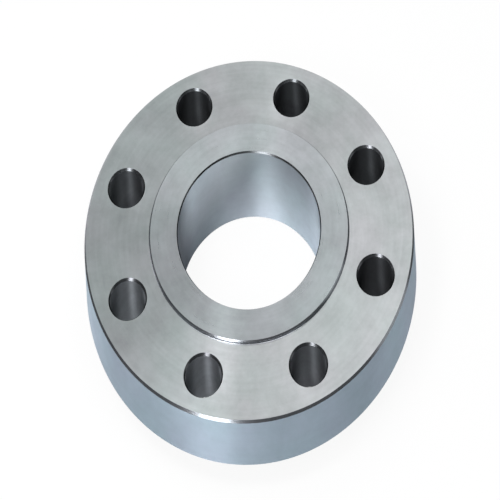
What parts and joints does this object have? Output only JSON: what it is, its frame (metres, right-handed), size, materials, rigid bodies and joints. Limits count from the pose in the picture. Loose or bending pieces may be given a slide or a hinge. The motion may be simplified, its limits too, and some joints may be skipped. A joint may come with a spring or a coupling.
{
  "type": "slip on flange",
  "caption": "Round steel slip on flange with a raised gasket face, a plain bore for the pipe, a ring of bolt holes and a short hub behind.",
  "frame": {"origin": "centre of the hub's end face, on the axis of the bore", "axes": "+Z along the bore's axis, from the hub's end towards the raised face; +X and +Y each pass midway between two bolt holes"},
  "size_m": [0.2096, 0.2096, 0.0429],
  "materials": {
    "machined_steel": "bare steel, light machined finish"
  },
  "bodies": {
    "root": {"flange": "machined_steel"}
  },
  "joints": []
}
